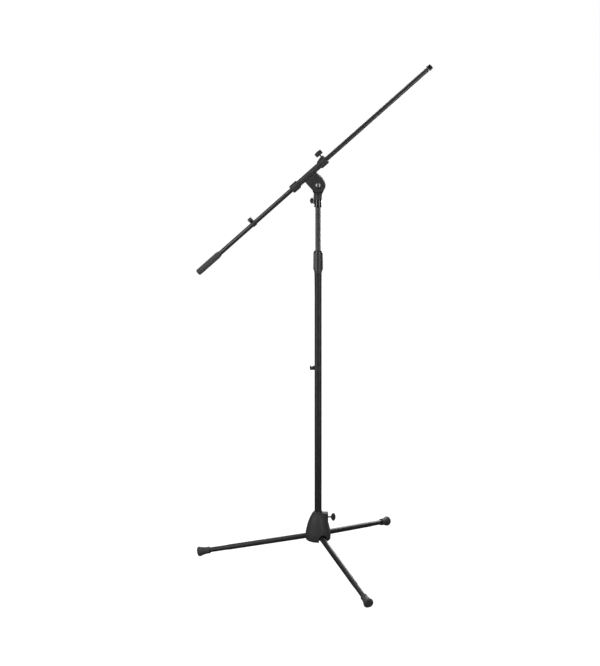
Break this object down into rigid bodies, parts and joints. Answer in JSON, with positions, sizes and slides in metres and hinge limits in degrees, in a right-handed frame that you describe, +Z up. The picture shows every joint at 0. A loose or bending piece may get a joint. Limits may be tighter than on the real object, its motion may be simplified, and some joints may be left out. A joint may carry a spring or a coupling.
{
  "type": "boom microphone stand",
  "caption": "Boom microphone stand: folding tripod base, telescopic column with a twist clutch, and a tilting, sliding boom with a threaded end.",
  "frame": {"origin": "on the floor, on the column's axis", "axes": "+Z up along the column; the boom lies in the XZ plane and rises towards +X; +Y points away from the side with the pivot screw's head"},
  "size_m": [0.6795, 0.6349, 1.4734],
  "materials": {
    "tube_coat": "satin",
    "mast_coat": "satin",
    "black_steel": "satin",
    "hub_casting": "satin",
    "socket_enamel": "gloss",
    "moulding": "satin",
    "clutch_plastic": "satin",
    "black_nylon": "satin",
    "foot_rubber": "matte",
    "grip_rubber": "matte",
    "zinc_steel": "satin",
    "bright_plate": "polished"
  },
  "bodies": {
    "column": {"lower_tube": "tube_coat", "tube_end_plug": "black_nylon", "clutch_ferrule": "black_nylon", "clutch_collet": "black_nylon"},
    "clutch": {"clutch_grip": "clutch_plastic"},
    "column_clip": {"column_cable_clip": "moulding"},
    "base": {"hub_shell": "hub_casting", "hub_bush": "black_nylon", "hub_pressure_pad": "black_nylon", "leg_pin_rear": "zinc_steel", "leg_pin_left": "zinc_steel", "leg_pin_front": "zinc_steel"},
    "hub_wing": {"hub_wing_stud": "black_steel", "hub_wing_head": "moulding"},
    "leg_rear": {"leg_knuckle_rear": "black_nylon", "leg_tube_rear": "tube_coat", "rubber_foot_rear": "foot_rubber"},
    "leg_left": {"leg_knuckle_left": "black_nylon", "leg_tube_left": "tube_coat", "rubber_foot_left": "foot_rubber"},
    "leg_front": {"leg_knuckle_front": "black_nylon", "leg_tube_front": "tube_coat", "rubber_foot_front": "foot_rubber"},
    "mast": {"mast_tube": "mast_coat", "mast_guide_bush": "black_nylon"},
    "swivel": {"swivel_socket": "socket_enamel", "swivel_neck": "moulding", "clamp_plate": "bright_plate"},
    "head_wing": {"head_wing_stud": "black_steel", "head_wing_head": "moulding"},
    "cradle": {"boom_cradle": "moulding", "boom_pressure_pad": "black_nylon", "friction_washer_front": "black_nylon", "friction_washer_rear": "black_nylon", "pivot_screw": "bright_plate", "pivot_nut": "bright_plate"},
    "boom_wing": {"boom_wing_stud": "black_steel", "boom_wing_head": "moulding"},
    "boom": {"boom_tube": "mast_coat", "boom_grip": "grip_rubber", "boom_end_insert": "zinc_steel", "lock_washer": "bright_plate"},
    "adapter": {"thread_adapter": "black_steel"},
    "boom_clip": {"boom_cable_clip": "moulding"}
  },
  "joints": [
    {"name": "clutch_twist", "type": "hinge", "parent": "column", "child": "clutch", "pos_m": [0, 0, 0.92], "axis": [0, 0, 1], "range_deg": [0, 270]},
    {"name": "column_clip_slide", "type": "slide", "parent": "column", "child": "column_clip", "axis": [0, 0, 1], "range_m": [-0.12, 0.25]},
    {"name": "hub_slide", "type": "slide", "parent": "column", "child": "base", "axis": [0, 0, 1], "range_m": [0, 0.3]},
    {"name": "hub_wing_turn", "type": "hinge", "parent": "base", "child": "hub_wing", "pos_m": [0.03, 0, 0.14], "axis": [1, 0, 0], "continuous": true},
    {"name": "leg_rear_fold", "type": "hinge", "parent": "base", "child": "leg_rear", "pos_m": [0.01258, 0.01681, 0.08261], "axis": [-0.8007, 0.599, 0], "range_deg": [0, 76]},
    {"name": "leg_left_fold", "type": "hinge", "parent": "base", "child": "leg_left", "pos_m": [-0.02085, 0.00249, 0.08261], "axis": [-0.1184, -0.993, 0], "range_deg": [0, 76]},
    {"name": "leg_front_fold", "type": "hinge", "parent": "base", "child": "leg_front", "pos_m": [0.00827, -0.0193, 0.08261], "axis": [0.9191, 0.3939, 0], "range_deg": [0, 76]},
    {"name": "mast_slide", "type": "slide", "parent": "column", "child": "mast", "axis": [0, 0, 1], "range_m": [-0.12, 0.5]},
    {"name": "head_swivel", "type": "hinge", "parent": "mast", "child": "swivel", "pos_m": [0, 0, 1.09], "axis": [0, 0, 1], "continuous": true},
    {"name": "head_wing_turn", "type": "hinge", "parent": "swivel", "child": "head_wing", "pos_m": [-0.015, 0, 1.0906], "axis": [-1, 0, 0], "continuous": true},
    {"name": "boom_tilt", "type": "hinge", "parent": "swivel", "child": "cradle", "pos_m": [0, 0, 1.1362], "axis": [0, -1, 0], "range_deg": [-86, 43]},
    {"name": "boom_wing_turn", "type": "hinge", "parent": "cradle", "child": "boom_wing", "pos_m": [0.00785, 0, 1.21714], "axis": [-0.6678, 0, 0.7443], "continuous": true},
    {"name": "boom_slide", "type": "slide", "parent": "cradle", "child": "boom", "axis": [0.7443, 0, 0.6678], "range_m": [-0.35, 0.13]},
    {"name": "adapter_turn", "type": "hinge", "parent": "boom", "child": "adapter", "pos_m": [0.30781, 0, 1.46397], "axis": [0.7443, 0, 0.6678], "continuous": true},
    {"name": "boom_clip_slide", "type": "slide", "parent": "boom", "child": "boom_clip", "axis": [0.7443, 0, 0.6678], "range_m": [-0.115, 0]}
  ]
}
